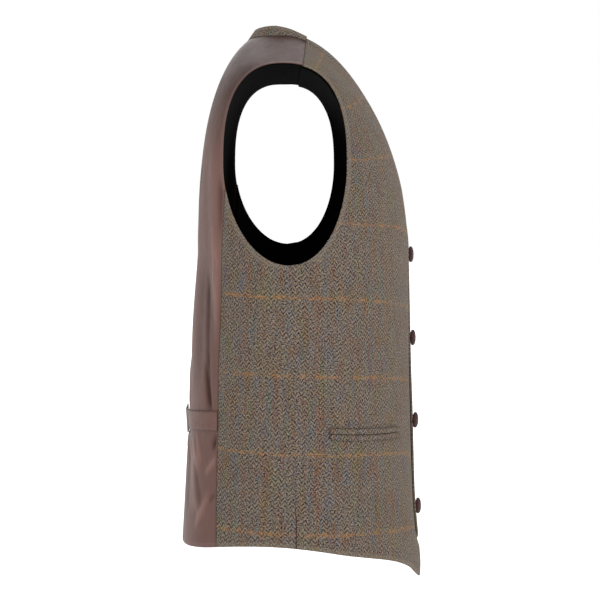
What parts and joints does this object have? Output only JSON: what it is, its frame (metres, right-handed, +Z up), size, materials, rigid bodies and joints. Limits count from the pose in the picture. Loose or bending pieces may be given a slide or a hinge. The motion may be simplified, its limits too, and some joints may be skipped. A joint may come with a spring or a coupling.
{
  "type": "suit waistcoat",
  "caption": "Suit waistcoat in its worn shape with no wearer: tweed fronts with V neck, slit pockets, domed buttons and a pointed hem, and a satin back with a buckled waist strap.",
  "frame": {"origin": "midway between the shoulders, on the line where the wearer's shoulders hold the garment up, about 15 mm above the neck ends of the shoulder seams", "axes": "+Z up as worn; -Y to the wearer's front; +X to the wearer's left"},
  "size_m": [0.3694, 0.2894, 0.6408],
  "materials": {
    "tweed": "brown-grey herringbone tweed with a fine overcheck",
    "satin": "dusky brown satin with a soft sheen",
    "black_lining": "plain black lining",
    "leather": "dark brown, domed, softly polished",
    "gunmetal": "dark, smooth"
  },
  "bodies": {
    "root": {"front_left": "tweed", "front_right": "tweed", "back_left": "satin", "back_right": "satin", "lining_front_left": "black_lining", "lining_front_right": "black_lining", "lining_back_left": "black_lining", "lining_back_right": "black_lining", "neck_band": "tweed", "pocket_left_upper_lip": "tweed", "pocket_left_lower_lip": "tweed", "pocket_right_upper_lip": "tweed", "pocket_right_lower_lip": "tweed", "strap_left": "satin", "strap_right": "satin", "strap_buckle": "gunmetal", "button_1": "leather", "button_2": "leather", "button_3": "leather", "button_4": "leather"}
  },
  "joints": []
}
